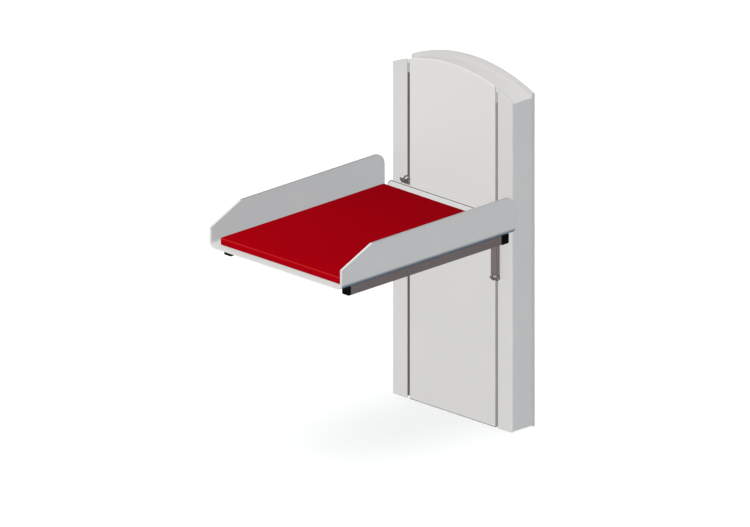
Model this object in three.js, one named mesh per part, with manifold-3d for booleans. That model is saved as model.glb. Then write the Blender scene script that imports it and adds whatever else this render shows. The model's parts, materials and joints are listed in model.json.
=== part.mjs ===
// A wall-mounted baby changing station: a slim lift column with an arched top, and a padded tray
// that rides up and down on two arms reaching through slots in the column's front.
// Millimetres, +Z up, +X to the viewer's right, the wall at y = 0 and the front towards -Y.
// Heights below are measured from the column's foot; the finished group is lowered so that the
// origin lies on the wall face, at the height of the wall datum.

import * as THREE from 'three';
import { mergeVertices } from 'three/addons/utils/BufferGeometryUtils.js';
import Module from 'manifold-3d';

const wasm = await Module();
wasm.setup();

// Driving dimensions: fits
const SEAT_GAP = 0.3;
const SLIDE_CLEARANCE = 0.3;

// Driving dimensions: column casing
const WALL_DATUM_HEIGHT = 700;
const COLUMN_WIDTH = 650;
const COLUMN_DEPTH = 120;
const COLUMN_HEIGHT = 1425.5;
const COLUMN_ARCH_RISE = 70;
const BACK_PLATE_THICKNESS = 10;
const BACK_PLATE_OVERHANG = 4;
const BOARD_THICKNESS = 6;
const BOARD_EDGE_CHAMFER = 2;
const SIDE_PANEL_THICKNESS = 6;
const SIDE_PANEL_LIFT = 4;
const TOP_COVER_THICKNESS = 6;
const TOP_COVER_DROP = 13;
const COVER_RIB_THICKNESS = 8;
const SLOT_WIDTH = 14;
const SLOT_SPACING = 480;
const ARCH_SEGMENTS = 28;
const GLIDE_RAIL_WIDTH = 20;
const GLIDE_RAIL_DEPTH = 10;
const GLIDE_RAIL_SETBACK = 0.5;

// Driving dimensions: lift frame inside the column
const FRAME_SHEET = 4;
const FRAME_SIDE_ROOM = 15;
const FRAME_FOOT_HEIGHT = 5;
const FRAME_TOP_DROP = 33;
const BEAM_FLANGE_DEPTH = 45;
const HEADER_DROP = 13;
const GUIDE_ROD_DIAMETER = 25;
const GUIDE_ROD_FROM_WALL = 42;

// Driving dimensions: lift actuator and control box
const LIFT_TRAVEL_DOWN = 200;
const ACTUATOR_FROM_FRONT = 40;
const GEARBOX_SIZE = new THREE.Vector3(130, 62, 84);
const GEARBOX_CORNER_RADIUS = 10;
const ACTUATOR_TUBE_DIAMETER = 50;
const ACTUATOR_TUBE_WALL = 4;
const ACTUATOR_END_ROOM = 5;
const ACTUATOR_TUBE_FLOOR = 12;
const ACTUATOR_ROD_DIAMETER = 32;
const ACTUATOR_HEAD_DIAMETER = 46;
const ACTUATOR_HEAD_THICKNESS = 10;
const MOTOR_DIAMETER = 54;
const MOTOR_LENGTH = 130;
const MOTOR_OFFSET = 60;
const MOTOR_END_CHAMFER = 6;
const CONTROL_BOX_SIZE = new THREE.Vector3(120, 40, 190);
const CONTROL_BOX_CORNER_RADIUS = 8;
const CONTROL_BOX_OFFSET = -110;
const CONTROL_BOX_FOOT_HEIGHT = 190;
const GLAND_NUT_RADIUS = 11;
const GLAND_NUT_HEIGHT = 9;
const GLAND_NECK_RADIUS = 7;
const GLAND_NECK_HEIGHT = 14;
const GLAND_BORE_RADIUS = 4;

// Driving dimensions: carriage
const CARRIAGE_PLATE_THICKNESS = 8;
const CARRIAGE_PLATE_REAR_FROM_WALL = 30;
const CARRIAGE_PLATE_SETBACK = 12;
const LUG_RADIUS = 14;
const CARRIAGE_BEAM_HEIGHT = 60;
const CARRIAGE_BEAM_DEPTH = 44;
const CARRIAGE_BEAM_WALL = 4;
const CARRIAGE_BEAM_CORNER_RADIUS = 6;
const CARRIAGE_BEAM_DROP = 99;
const BEARING_BLOCK_WIDTH = 52;
const BEARING_BLOCK_DEPTH = 44;
const BEARING_BLOCK_HEIGHT = 60;
const BEARING_BLOCK_CORNER_RADIUS = 6;
const BEARING_BUSH_WALL = 4.5;
const BEARING_BLOCK_INSET = 12;

// Driving dimensions: arms in front of the column
const ARM_WIDTH = 36;
const ARM_OUTSET = 4.5;
const ARM_DEPTH = 19;
const ARM_CLEARANCE = 1;
const ARM_EDGE_RADIUS = 5;
const ARM_LOWER_PIN_DROP = 209;
const KNUCKLE_RADIUS = 11.5;
const KNUCKLE_CHAMFER = 1;
const FORK_CLEARANCE = 0.3;
const FORK_ROOT_CLEARANCE = 1;
const PIN_DIAMETER = 10;
const PIN_HEAD_RADIUS = 8;
const PIN_HEAD_THICKNESS = 4;
const PIN_TAIL_LENGTH = 4;
const CLIP_THICKNESS = 1.6;
const CLIP_RADIUS = 8;

// Driving dimensions: tray frame of square tube
const TUBE_SIZE = 40;
const TUBE_WALL = 3;
const TUBE_CORNER_RADIUS = 5;
const TUBE_CAP_THICKNESS = 8.5;
const TUBE_CAP_PLUG_LENGTH = 18;
const SPACER_LENGTH = 13;
const SPACER_INSET = 2;
const TRAY_FRAME_INSET = 19.5;
const TRAY_FRAME_FRONT_SETBACK = 60;

// Driving dimensions: tray, bent from one sheet
const TRAY_WIDTH = 721;
const TRAY_LENGTH = 939;
const TRAY_SHEET = 10;
const TRAY_BEND_RADIUS = 25;
const TRAY_FOOT_HEIGHT = 828.5;
const TRAY_ARM_CLEARANCE = 2;
const GUARD_HEIGHT = 154;
const GUARD_FRONT_HEIGHT = 83;
const GUARD_SLOPE_LENGTH = 164;
const GUARD_REAR_RADIUS = 48;
const GUARD_REAR_OVERHANG = 5;
const UPSTAND_HEIGHT = 56;
const UPSTAND_RELIEF = 16;
const UPSTAND_CORNER_RADIUS = 25;
const BEND_SEGMENTS = 4;
const ROUND_SIDES = 24;

// Driving dimensions: mat
const MAT_SIDE_CLEARANCE = 3;
const MAT_REAR_CLEARANCE = -5.5;
const MAT_THICKNESS = 29;
const MAT_CROWN = 2;
const MAT_DRAW_IN = 1.5;
const MAT_EDGE_RADIUS = 5;
const MAT_CORNER_RADIUS = 9;
const MAT_FRONT_MARGIN = 25;

// Worked-out places shared by several pieces
const SLOT_X = SLOT_SPACING / 2;
const BOARD_BACK = COLUMN_DEPTH - BOARD_THICKNESS - SEAT_GAP;
const GLIDE_RAIL_REAR = BOARD_BACK - GLIDE_RAIL_DEPTH;
const GLIDE_RAIL_X = SLOT_X - SLOT_WIDTH / 2 - GLIDE_RAIL_SETBACK;
const COLUMN_EDGE_HEIGHT = COLUMN_HEIGHT - COLUMN_ARCH_RISE;
const ARCH_RADIUS = ((COLUMN_WIDTH / 2) ** 2 + COLUMN_ARCH_RISE ** 2) / (2 * COLUMN_ARCH_RISE);
const ARCH_CENTRE = COLUMN_HEIGHT - ARCH_RADIUS;
const COVER_RADIUS = ARCH_RADIUS - TOP_COVER_DROP;
const WEB_FRONT = BACK_PLATE_THICKNESS + SEAT_GAP + FRAME_SHEET;
const FRAME_INNER_WIDTH = SLOT_SPACING + 2 * FRAME_SIDE_ROOM;
const FRAME_TOP_HEIGHT = COLUMN_EDGE_HEIGHT - FRAME_TOP_DROP;
const FOOTER_TOP = FRAME_FOOT_HEIGHT + BEAM_FLANGE_DEPTH;
const HEADER_TOP = FRAME_TOP_HEIGHT - HEADER_DROP;
const GUIDE_ROD_X = SLOT_X - CARRIAGE_PLATE_THICKNESS / 2 - SEAT_GAP - BEARING_BLOCK_WIDTH / 2;
const KNUCKLE_FROM_WALL = COLUMN_DEPTH + ARM_CLEARANCE + KNUCKLE_RADIUS;
const ARM_FRONT = COLUMN_DEPTH + ARM_CLEARANCE + ARM_DEPTH;
const ARM_X = SLOT_X + ARM_OUTSET;
const ARM_LOWER_PIN_HEIGHT = TRAY_FOOT_HEIGHT - ARM_LOWER_PIN_DROP;
const ARM_UPPER_PIN_HEIGHT = TRAY_FOOT_HEIGHT + UPSTAND_HEIGHT + LUG_RADIUS;
const ACTUATOR_FROM_WALL = COLUMN_DEPTH - ACTUATOR_FROM_FRONT;
const CARRIAGE_BEAM_FOOT_HEIGHT = TRAY_FOOT_HEIGHT - CARRIAGE_BEAM_DROP;
const TUBE_BORE_RADIUS = Math.max(TUBE_CORNER_RADIUS - TUBE_WALL, 1);
const TUBE_TOP = TRAY_FOOT_HEIGHT - SEAT_GAP;
const TUBE_MIDDLE = TUBE_TOP - TUBE_SIZE / 2;
const CROSS_TUBE_REAR = ARM_FRONT + SPACER_LENGTH;
const CROSS_TUBE_FROM_WALL = CROSS_TUBE_REAR + TUBE_SIZE / 2;
const TRAY_FRAME_WIDTH = TRAY_WIDTH - 2 * TRAY_FRAME_INSET;
const LONG_TUBE_X = (TRAY_FRAME_WIDTH - TUBE_SIZE) / 2;
const TRAY_REAR = ARM_FRONT + TRAY_ARM_CLEARANCE;
const TRAY_FRONT = TRAY_REAR + TRAY_LENGTH;
const GUARD_REAR = TRAY_REAR - GUARD_REAR_OVERHANG;
const UPSTAND_WIDTH = TRAY_WIDTH - 2 * (TRAY_BEND_RADIUS + UPSTAND_RELIEF);
const MAT_WIDTH = TRAY_WIDTH - 2 * (TRAY_BEND_RADIUS + MAT_SIDE_CLEARANCE);
const MAT_LENGTH = TRAY_LENGTH - TRAY_BEND_RADIUS - MAT_REAR_CLEARANCE - MAT_FRONT_MARGIN;
const CARRIAGE_FOOT = ARM_LOWER_PIN_HEIGHT - LUG_RADIUS;
const CARRIAGE_TOP = ARM_UPPER_PIN_HEIGHT + LUG_RADIUS;

// Finishes
const whitePaint = new THREE.MeshStandardMaterial({ color: '#dcdad7', roughness: 0.45, metalness: 0 });
const trayPaint = new THREE.MeshStandardMaterial({ color: '#dddcda', roughness: 0.4, metalness: 0 });
const taupePaint = new THREE.MeshStandardMaterial({ color: '#787070', roughness: 0.5, metalness: 0.1 });
const brightSteel = new THREE.MeshStandardMaterial({ color: '#c4c2c0', roughness: 0.25, metalness: 1 });
const blackPlastic = new THREE.MeshStandardMaterial({ color: '#191818', roughness: 0.45, metalness: 0 });
const greyPlastic = new THREE.MeshStandardMaterial({ color: '#cac5c3', roughness: 0.55, metalness: 0 });
const bearingPlastic = new THREE.MeshStandardMaterial({ color: '#e4e2da', roughness: 0.5, metalness: 0 });
const redVinyl = new THREE.MeshStandardMaterial({ color: '#a30010', roughness: 0.5, metalness: 0 });

// Directions that an outline drawn in a plane is extruded along
const AXES = {
  X: [new THREE.Vector3(0, 1, 0), new THREE.Vector3(0, 0, 1), new THREE.Vector3(1, 0, 0)],
  Y: [new THREE.Vector3(1, 0, 0), new THREE.Vector3(0, 0, 1), new THREE.Vector3(0, -1, 0)],
  Z: [new THREE.Vector3(1, 0, 0), new THREE.Vector3(0, 1, 0), new THREE.Vector3(0, 0, 1)],
};

const station = new THREE.Group();
station.position.z = -WALL_DATUM_HEIGHT;

// Adds one named piece to the station
function add(name, geometry, material) {
  const piece = new THREE.Mesh(geometry, material);
  piece.name = name;
  station.add(piece);
}

// Places along Y by their distance from the wall
function fromWall(distance) {
  return -distance;
}

// A closed geometry as a solid that can be joined and cut
function toSolid(geometry) {
  const bare = geometry.clone();
  bare.deleteAttribute('normal');
  bare.deleteAttribute('uv');
  const merged = mergeVertices(bare, 1e-4);
  return new wasm.Manifold(new wasm.Mesh({
    numProp: 3,
    vertProperties: new Float32Array(merged.attributes.position.array),
    triVerts: new Uint32Array(merged.index.array),
  }));
}

function toGeometry(solid) {
  const mesh = solid.getMesh();
  const geometry = new THREE.BufferGeometry();
  geometry.setAttribute('position', new THREE.BufferAttribute(new Float32Array(mesh.vertProperties), 3));
  geometry.setIndex(new THREE.BufferAttribute(new Uint32Array(mesh.triVerts), 1));
  geometry.computeVertexNormals();
  return geometry;
}

function cut(body, ...tools) {
  return toGeometry(tools.reduce((solid, tool) => solid.subtract(toSolid(tool)), toSolid(body)));
}

function join(body, ...others) {
  return toGeometry(others.reduce((solid, other) => solid.add(toSolid(other)), toSolid(body)));
}

function common(body, other) {
  return toGeometry(toSolid(body).intersect(toSolid(other)));
}

// A box by its limits, with y given as distances from the wall
function boxBetween(x0, x1, wall0, wall1, z0, z1) {
  const box = new THREE.BoxGeometry(x1 - x0, wall1 - wall0, z1 - z0);
  return box.translate((x0 + x1) / 2, fromWall((wall0 + wall1) / 2), (z0 + z1) / 2);
}

// An outline extruded along one axis; outlines across X are drawn as (y, z), across Y as (x, z)
function extrude(shape, axis, length, curveSegments = BEND_SEGMENTS) {
  const geometry = new THREE.ExtrudeGeometry(shape, { depth: length, bevelEnabled: false, curveSegments });
  return geometry.applyMatrix4(new THREE.Matrix4().makeBasis(...AXES[axis]));
}

// A rectangle with round corners, centred on its own origin
function roundedRectangle(width, height, radius) {
  const x = width / 2;
  const y = height / 2;
  const shape = new THREE.Shape();
  shape.moveTo(-x + radius, -y);
  shape.lineTo(x - radius, -y);
  shape.absarc(x - radius, -y + radius, radius, -Math.PI / 2, 0);
  shape.lineTo(x, y - radius);
  shape.absarc(x - radius, y - radius, radius, 0, Math.PI / 2);
  shape.lineTo(-x + radius, y);
  shape.absarc(-x + radius, y - radius, radius, Math.PI / 2, Math.PI);
  shape.lineTo(-x, -y + radius);
  shape.absarc(-x + radius, -y + radius, radius, Math.PI, 1.5 * Math.PI);
  return shape;
}

// A round hole whose flats keep the full radius clear
function roundHole(x, y, radius) {
  const reach = radius / Math.cos(Math.PI / ROUND_SIDES);
  const points = [];
  for (let side = 0; side < ROUND_SIDES; side += 1) {
    const angle = -2 * Math.PI * (side / ROUND_SIDES);
    points.push(new THREE.Vector2(x + reach * Math.cos(angle), y + reach * Math.sin(angle)));
  }
  return new THREE.Path(points);
}

// A hollow square or rectangular tube section with round corners
function tubeSection(width, height, wall, radius, boreRadius) {
  const shape = roundedRectangle(width, height, radius);
  shape.holes.push(roundedRectangle(width - 2 * wall, height - 2 * wall, boreRadius));
  return shape;
}

// A turned piece along X; the profile gives (position along X, radius) pairs
function turnedAlongX(profile) {
  const points = profile.map(([along, radius]) => new THREE.Vector2(radius, along));
  return new THREE.LatheGeometry(points, ROUND_SIDES).rotateZ(-Math.PI / 2);
}

// A turned piece along Z; the profile gives (radius, height) pairs
function turnedAlongZ(profile, sides = ROUND_SIDES) {
  const points = profile.map(([radius, height]) => new THREE.Vector2(radius, height));
  return new THREE.LatheGeometry(points, sides).rotateX(Math.PI / 2);
}

// Height of an arch of the given radius, concentric with the column's top edge
function archHeight(x, radius) {
  return ARCH_CENTRE + Math.sqrt(radius ** 2 - x ** 2);
}

function archAngle(x, radius) {
  return Math.acos(x / radius);
}

// A board outline between two sides, from the foot up to the arch
function archedOutline(left, right, radius) {
  const shape = new THREE.Shape();
  shape.moveTo(left, 0);
  shape.lineTo(right, 0);
  shape.lineTo(right, archHeight(right, radius));
  shape.absarc(0, ARCH_CENTRE, radius, archAngle(right, radius), archAngle(left, radius));
  shape.lineTo(left, 0);
  return shape;
}

// Back plate against the wall
function makeBackPlate() {
  const half = COLUMN_WIDTH / 2 + BACK_PLATE_OVERHANG;
  const outline = archedOutline(-half, half, ARCH_RADIUS + BACK_PLATE_OVERHANG);
  add('back_plate', extrude(outline, 'Y', BACK_PLATE_THICKNESS, ARCH_SEGMENTS), whitePaint);
}

// Three front boards, parted by the two slots that the arms reach through
function frontBoard(left, right, segments) {
  const board = new THREE.ExtrudeGeometry(archedOutline(left, right, ARCH_RADIUS), {
    depth: BOARD_THICKNESS - 2 * BOARD_EDGE_CHAMFER,
    bevelThickness: BOARD_EDGE_CHAMFER,
    bevelSize: BOARD_EDGE_CHAMFER,
    bevelOffset: -BOARD_EDGE_CHAMFER,
    bevelSegments: 1,
    curveSegments: segments,
  });
  board.applyMatrix4(new THREE.Matrix4().makeBasis(...AXES.Y));
  return board.translate(0, fromWall(COLUMN_DEPTH - BOARD_THICKNESS + BOARD_EDGE_CHAMFER), 0);
}

function makeFrontBoards() {
  const slotInner = SLOT_X - SLOT_WIDTH / 2;
  const slotOuter = SLOT_X + SLOT_WIDTH / 2;
  const edge = COLUMN_WIDTH / 2;
  const stripSegments = Math.round(ARCH_SEGMENTS / 6);
  add('centre_panel', frontBoard(-slotInner, slotInner, ARCH_SEGMENTS), whitePaint);
  add('front_strip_left', frontBoard(-edge, -slotOuter, stripSegments), whitePaint);
  add('front_strip_right', frontBoard(slotOuter, edge, stripSegments), whitePaint);
}

// Arched top cover, set below the boards' top edge, with a rib beside the upper end of each slot
function makeTopCover() {
  const edge = COLUMN_WIDTH / 2;
  const inner = COVER_RADIUS - TOP_COVER_THICKNESS;
  const shape = new THREE.Shape();
  shape.moveTo(edge, archHeight(edge, COVER_RADIUS));
  shape.absarc(0, ARCH_CENTRE, COVER_RADIUS, archAngle(edge, COVER_RADIUS), archAngle(-edge, COVER_RADIUS));
  shape.lineTo(-edge, archHeight(-edge, inner));
  shape.absarc(0, ARCH_CENTRE, inner, archAngle(-edge, inner), archAngle(edge, inner), true);
  shape.lineTo(edge, archHeight(edge, COVER_RADIUS));
  const rear = BACK_PLATE_THICKNESS + SEAT_GAP;
  const cover = extrude(shape, 'Y', BOARD_BACK - rear, ARCH_SEGMENTS).translate(0, fromWall(rear), 0);

  const ribFoot = FRAME_TOP_HEIGHT + SEAT_GAP;
  const ribTop = archHeight(GLIDE_RAIL_X, COVER_RADIUS - TOP_COVER_THICKNESS / 3);
  const ribs = [-1, 1].map((side) => {
    const x = [side * (GLIDE_RAIL_X - COVER_RIB_THICKNESS), side * GLIDE_RAIL_X].sort((a, b) => a - b);
    return boxBetween(...x, GLIDE_RAIL_REAR, BOARD_BACK, ribFoot, ribTop);
  });
  add('top_cover', join(cover, ...ribs), whitePaint);
}

// Side panels, whose slanted tops tuck under the cover
function makeSidePanels() {
  const under = COVER_RADIUS - TOP_COVER_THICKNESS - 2 * SEAT_GAP;
  const outer = COLUMN_WIDTH / 2;
  const inner = outer - SIDE_PANEL_THICKNESS;
  const rear = BACK_PLATE_THICKNESS + SEAT_GAP;
  for (const [name, side] of [['left', -1], ['right', 1]]) {
    const shape = new THREE.Shape();
    shape.moveTo(side * inner, SIDE_PANEL_LIFT);
    shape.lineTo(side * outer, SIDE_PANEL_LIFT);
    shape.lineTo(side * outer, archHeight(outer, under));
    shape.lineTo(side * inner, archHeight(inner, under));
    const panel = extrude(shape, 'Y', BOARD_BACK - rear);
    add(`side_panel_${name}`, panel.translate(0, fromWall(rear), 0), whitePaint);
  }
}

// Glide rails behind the centre panel, beside the slots, that steady the carriage's lugs
function makeGlideRails() {
  const inner = GLIDE_RAIL_X - GLIDE_RAIL_WIDTH;
  for (const [name, side] of [['left', -1], ['right', 1]]) {
    const x = [side * inner, side * GLIDE_RAIL_X].sort((a, b) => a - b);
    const rail = boxBetween(...x, GLIDE_RAIL_REAR, BOARD_BACK, 0, FRAME_TOP_HEIGHT);
    add(`glide_rail_${name}`, rail, greyPlastic);
  }
}

// Lift frame: a sheet-steel web with two side flanges, and a channel beam at each end
function makeLiftFrame() {
  const inner = FRAME_INNER_WIDTH / 2;
  const outer = inner + FRAME_SHEET;
  const rear = BACK_PLATE_THICKNESS + SEAT_GAP;
  const web = boxBetween(-outer, outer, rear, WEB_FRONT, FRAME_FOOT_HEIGHT, FRAME_TOP_HEIGHT);
  add('frame_web', web, taupePaint);
  for (const [name, side] of [['left', -1], ['right', 1]]) {
    const x = [side * inner, side * outer].sort((a, b) => a - b);
    const flange = boxBetween(...x, WEB_FRONT + SEAT_GAP, BOARD_BACK, FRAME_FOOT_HEIGHT, FRAME_TOP_HEIGHT);
    add(`frame_flange_${name}`, flange, taupePaint);
  }
  add('header_beam', channelBeam(HEADER_TOP), taupePaint);
  add('footer_beam', channelBeam(FOOTER_TOP), taupePaint);
}

// A channel beam with its web on top and its flanges hanging at the front and rear
function channelBeam(top) {
  const rear = fromWall(WEB_FRONT + SEAT_GAP);
  const front = fromWall(GLIDE_RAIL_REAR - SEAT_GAP);
  const foot = top - BEAM_FLANGE_DEPTH;
  const shape = new THREE.Shape();
  shape.moveTo(front, foot);
  shape.lineTo(front + FRAME_SHEET, foot);
  shape.lineTo(front + FRAME_SHEET, top - FRAME_SHEET);
  shape.lineTo(rear - FRAME_SHEET, top - FRAME_SHEET);
  shape.lineTo(rear - FRAME_SHEET, foot);
  shape.lineTo(rear, foot);
  shape.lineTo(rear, top);
  shape.lineTo(front, top);
  const length = FRAME_INNER_WIDTH - 2 * SEAT_GAP;
  return extrude(shape, 'X', length).translate(-length / 2, 0, 0);
}

// Guide rods between the two beams
function makeGuideRods() {
  const foot = FOOTER_TOP + SEAT_GAP;
  const top = HEADER_TOP - FRAME_SHEET - SEAT_GAP;
  const radius = GUIDE_ROD_DIAMETER / 2;
  for (const [name, side] of [['left', -1], ['right', 1]]) {
    const rod = turnedAlongZ([[0, foot], [radius, foot], [radius, top], [0, top]]);
    add(`guide_rod_${name}`, rod.translate(side * GUIDE_ROD_X, fromWall(GUIDE_ROD_FROM_WALL), 0), brightSteel);
  }
}

// Lift actuator: gearbox on the footer beam, motor beside the outer tube
function makeActuator() {
  const y = fromWall(ACTUATOR_FROM_WALL);
  const gearboxFoot = FOOTER_TOP + SEAT_GAP;
  const gearboxTop = gearboxFoot + GEARBOX_SIZE.z;
  const gearboxPlan = roundedRectangle(GEARBOX_SIZE.x, GEARBOX_SIZE.y, GEARBOX_CORNER_RADIUS);
  const gearbox = extrude(gearboxPlan, 'Z', GEARBOX_SIZE.z, BEND_SEGMENTS);
  add('actuator_gearbox', gearbox.translate(MOTOR_OFFSET / 2, y, gearboxFoot), blackPlastic);

  const motorFoot = gearboxTop + SEAT_GAP;
  const motorTop = motorFoot + MOTOR_LENGTH;
  const motorRadius = MOTOR_DIAMETER / 2;
  const motor = turnedAlongZ([
    [0, motorFoot],
    [motorRadius, motorFoot],
    [motorRadius, motorTop - MOTOR_END_CHAMFER],
    [motorRadius - MOTOR_END_CHAMFER, motorTop],
    [0, motorTop],
  ]);
  add('actuator_motor', motor.translate(MOTOR_OFFSET, y, 0), blackPlastic);

  const headTop = CARRIAGE_BEAM_FOOT_HEIGHT - SEAT_GAP;
  const headFoot = headTop - ACTUATOR_HEAD_THICKNESS;
  const tubeFoot = gearboxTop + SEAT_GAP;
  const tubeTop = headFoot - LIFT_TRAVEL_DOWN - ACTUATOR_END_ROOM;
  const tubeRadius = ACTUATOR_TUBE_DIAMETER / 2;
  const boreRadius = tubeRadius - ACTUATOR_TUBE_WALL;
  const collarRadius = ACTUATOR_ROD_DIAMETER / 2 + SLIDE_CLEARANCE;
  const tube = turnedAlongZ([
    [0, tubeFoot],
    [tubeRadius, tubeFoot],
    [tubeRadius, tubeTop],
    [collarRadius, tubeTop],
    [collarRadius, tubeTop - ACTUATOR_TUBE_FLOOR],
    [boreRadius, tubeTop - ACTUATOR_TUBE_FLOOR],
    [boreRadius, tubeFoot + ACTUATOR_TUBE_FLOOR],
    [0, tubeFoot + ACTUATOR_TUBE_FLOOR],
  ]);
  add('actuator_tube', tube.translate(0, y, 0), greyPlastic);

  const rodFoot = tubeFoot + ACTUATOR_TUBE_FLOOR + LIFT_TRAVEL_DOWN + ACTUATOR_END_ROOM;
  const rodRadius = ACTUATOR_ROD_DIAMETER / 2;
  const rod = turnedAlongZ([
    [0, rodFoot],
    [rodRadius, rodFoot],
    [rodRadius, headFoot],
    [ACTUATOR_HEAD_DIAMETER / 2, headFoot],
    [ACTUATOR_HEAD_DIAMETER / 2, headTop],
    [0, headTop],
  ]);
  add('actuator_rod', rod.translate(0, y, 0), brightSteel);
}

// Control box on the frame's web, with a gland for the mains lead below it
function makeControlBox() {
  const face = roundedRectangle(CONTROL_BOX_SIZE.x, CONTROL_BOX_SIZE.z, CONTROL_BOX_CORNER_RADIUS);
  const middle = CONTROL_BOX_FOOT_HEIGHT + CONTROL_BOX_SIZE.z / 2;
  const rear = WEB_FRONT + SEAT_GAP;
  const box = extrude(face, 'Y', CONTROL_BOX_SIZE.y);
  add('control_box', box.translate(CONTROL_BOX_OFFSET, fromWall(rear), middle), greyPlastic);

  const top = CONTROL_BOX_FOOT_HEIGHT - SEAT_GAP;
  const nutFoot = top - GLAND_NUT_HEIGHT;
  const foot = nutFoot - GLAND_NECK_HEIGHT;
  const gland = turnedAlongZ([
    [GLAND_BORE_RADIUS, foot],
    [GLAND_NECK_RADIUS, foot],
    [GLAND_NECK_RADIUS, nutFoot],
    [GLAND_NUT_RADIUS, nutFoot],
    [GLAND_NUT_RADIUS, top],
    [GLAND_BORE_RADIUS, top],
    [GLAND_BORE_RADIUS, foot],
  ], 12);
  const y = fromWall(rear + CONTROL_BOX_SIZE.y / 2);
  add('mains_gland', gland.translate(CONTROL_BOX_OFFSET, y, 0), blackPlastic);
}

// Carriage side plate: a tall plate inside the column with two lugs that come out through the slot
function carriagePlate() {
  const rear = fromWall(CARRIAGE_PLATE_REAR_FROM_WALL);
  const front = fromWall(COLUMN_DEPTH - CARRIAGE_PLATE_SETBACK);
  const knuckle = fromWall(KNUCKLE_FROM_WALL);
  const shape = new THREE.Shape();
  shape.moveTo(rear, CARRIAGE_FOOT);
  shape.lineTo(rear, CARRIAGE_TOP);
  shape.lineTo(knuckle, CARRIAGE_TOP);
  shape.absarc(knuckle, ARM_UPPER_PIN_HEIGHT, LUG_RADIUS, Math.PI / 2, 1.5 * Math.PI);
  shape.lineTo(front, ARM_UPPER_PIN_HEIGHT - LUG_RADIUS);
  shape.lineTo(front, ARM_LOWER_PIN_HEIGHT + LUG_RADIUS);
  shape.lineTo(knuckle, ARM_LOWER_PIN_HEIGHT + LUG_RADIUS);
  shape.absarc(knuckle, ARM_LOWER_PIN_HEIGHT, LUG_RADIUS, Math.PI / 2, 1.5 * Math.PI);
  shape.lineTo(rear, CARRIAGE_FOOT);
  for (const height of [ARM_LOWER_PIN_HEIGHT, ARM_UPPER_PIN_HEIGHT]) {
    shape.holes.push(roundHole(knuckle, height, PIN_DIAMETER / 2 + SLIDE_CLEARANCE));
  }
  return extrude(shape, 'X', CARRIAGE_PLATE_THICKNESS);
}

// Bearing block with a plastic bush that slides on the guide rod
function bearingBlock() {
  const plan = roundedRectangle(BEARING_BLOCK_WIDTH, BEARING_BLOCK_DEPTH, BEARING_BLOCK_CORNER_RADIUS);
  const seatRadius = GUIDE_ROD_DIAMETER / 2 + SLIDE_CLEARANCE + BEARING_BUSH_WALL + SEAT_GAP;
  plan.holes.push(roundHole(0, 0, seatRadius));
  return extrude(plan, 'Z', BEARING_BLOCK_HEIGHT);
}

function bearingBush() {
  const inner = GUIDE_ROD_DIAMETER / 2 + SLIDE_CLEARANCE;
  const outer = inner + BEARING_BUSH_WALL;
  return turnedAlongZ([
    [inner, 0],
    [outer, 0],
    [outer, BEARING_BLOCK_HEIGHT],
    [inner, BEARING_BLOCK_HEIGHT],
    [inner, 0],
  ]);
}

// Carriage: two side plates joined by a box beam, running on four bearings
function makeCarriage() {
  const beamSection = tubeSection(
    CARRIAGE_BEAM_DEPTH, CARRIAGE_BEAM_HEIGHT, CARRIAGE_BEAM_WALL,
    CARRIAGE_BEAM_CORNER_RADIUS, CARRIAGE_BEAM_CORNER_RADIUS / 3,
  );
  const beamLength = SLOT_SPACING - CARRIAGE_PLATE_THICKNESS - 2 * SEAT_GAP;
  const beamMiddle = CARRIAGE_BEAM_FOOT_HEIGHT + CARRIAGE_BEAM_HEIGHT / 2;
  const beam = extrude(beamSection, 'X', beamLength);
  add('carriage_beam', beam.translate(-beamLength / 2, fromWall(ACTUATOR_FROM_WALL), beamMiddle), taupePaint);

  const blockFeet = {
    lower: CARRIAGE_FOOT + BEARING_BLOCK_INSET,
    upper: CARRIAGE_TOP - BEARING_BLOCK_INSET - BEARING_BLOCK_HEIGHT,
  };
  for (const [name, side] of [['left', -1], ['right', 1]]) {
    const plate = carriagePlate().translate(side * SLOT_X - CARRIAGE_PLATE_THICKNESS / 2, 0, 0);
    add(`carriage_plate_${name}`, plate, taupePaint);
    for (const [level, foot] of Object.entries(blockFeet)) {
      const place = [side * GUIDE_ROD_X, fromWall(GUIDE_ROD_FROM_WALL), foot];
      add(`bearing_block_${level}_${name}`, bearingBlock().translate(...place), taupePaint);
      add(`bearing_bush_${level}_${name}`, bearingBush().translate(...place), bearingPlastic);
    }
  }
}

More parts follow.
